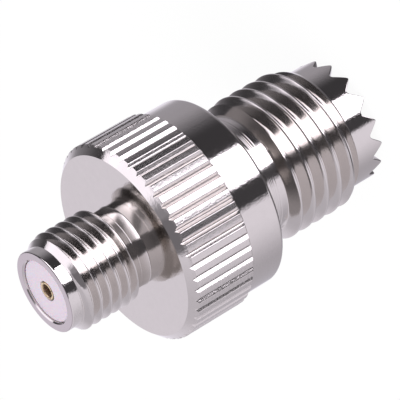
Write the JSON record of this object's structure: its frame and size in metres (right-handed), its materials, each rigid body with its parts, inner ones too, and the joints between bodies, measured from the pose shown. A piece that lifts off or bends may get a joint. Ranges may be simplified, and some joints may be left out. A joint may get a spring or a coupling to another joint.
{
  "type": "coax adapter",
  "caption": "Bright nickel-plated coaxial adapter with a small threaded socket jack at one end and a larger toothed, threaded socket jack at the other, joined by a knurled flange.",
  "frame": {"origin": "on the axis, at the plane of the crown's tooth tips that the adapter stands on", "axes": "+Z along the axis towards the small jack; -Y is the side that the picture's camera faces"},
  "size_m": [0.0132, 0.0132, 0.0234],
  "materials": {
    "nickel": "bright nickel plate over turned brass",
    "white_plastic": "satin white fluoroplastic",
    "gold": "gold plate over turned brass"
  },
  "bodies": {
    "root": {"adapter_body": "nickel", "small_end_insulator": "white_plastic", "large_end_insulator": "white_plastic", "centre_contact": "gold"}
  },
  "joints": []
}
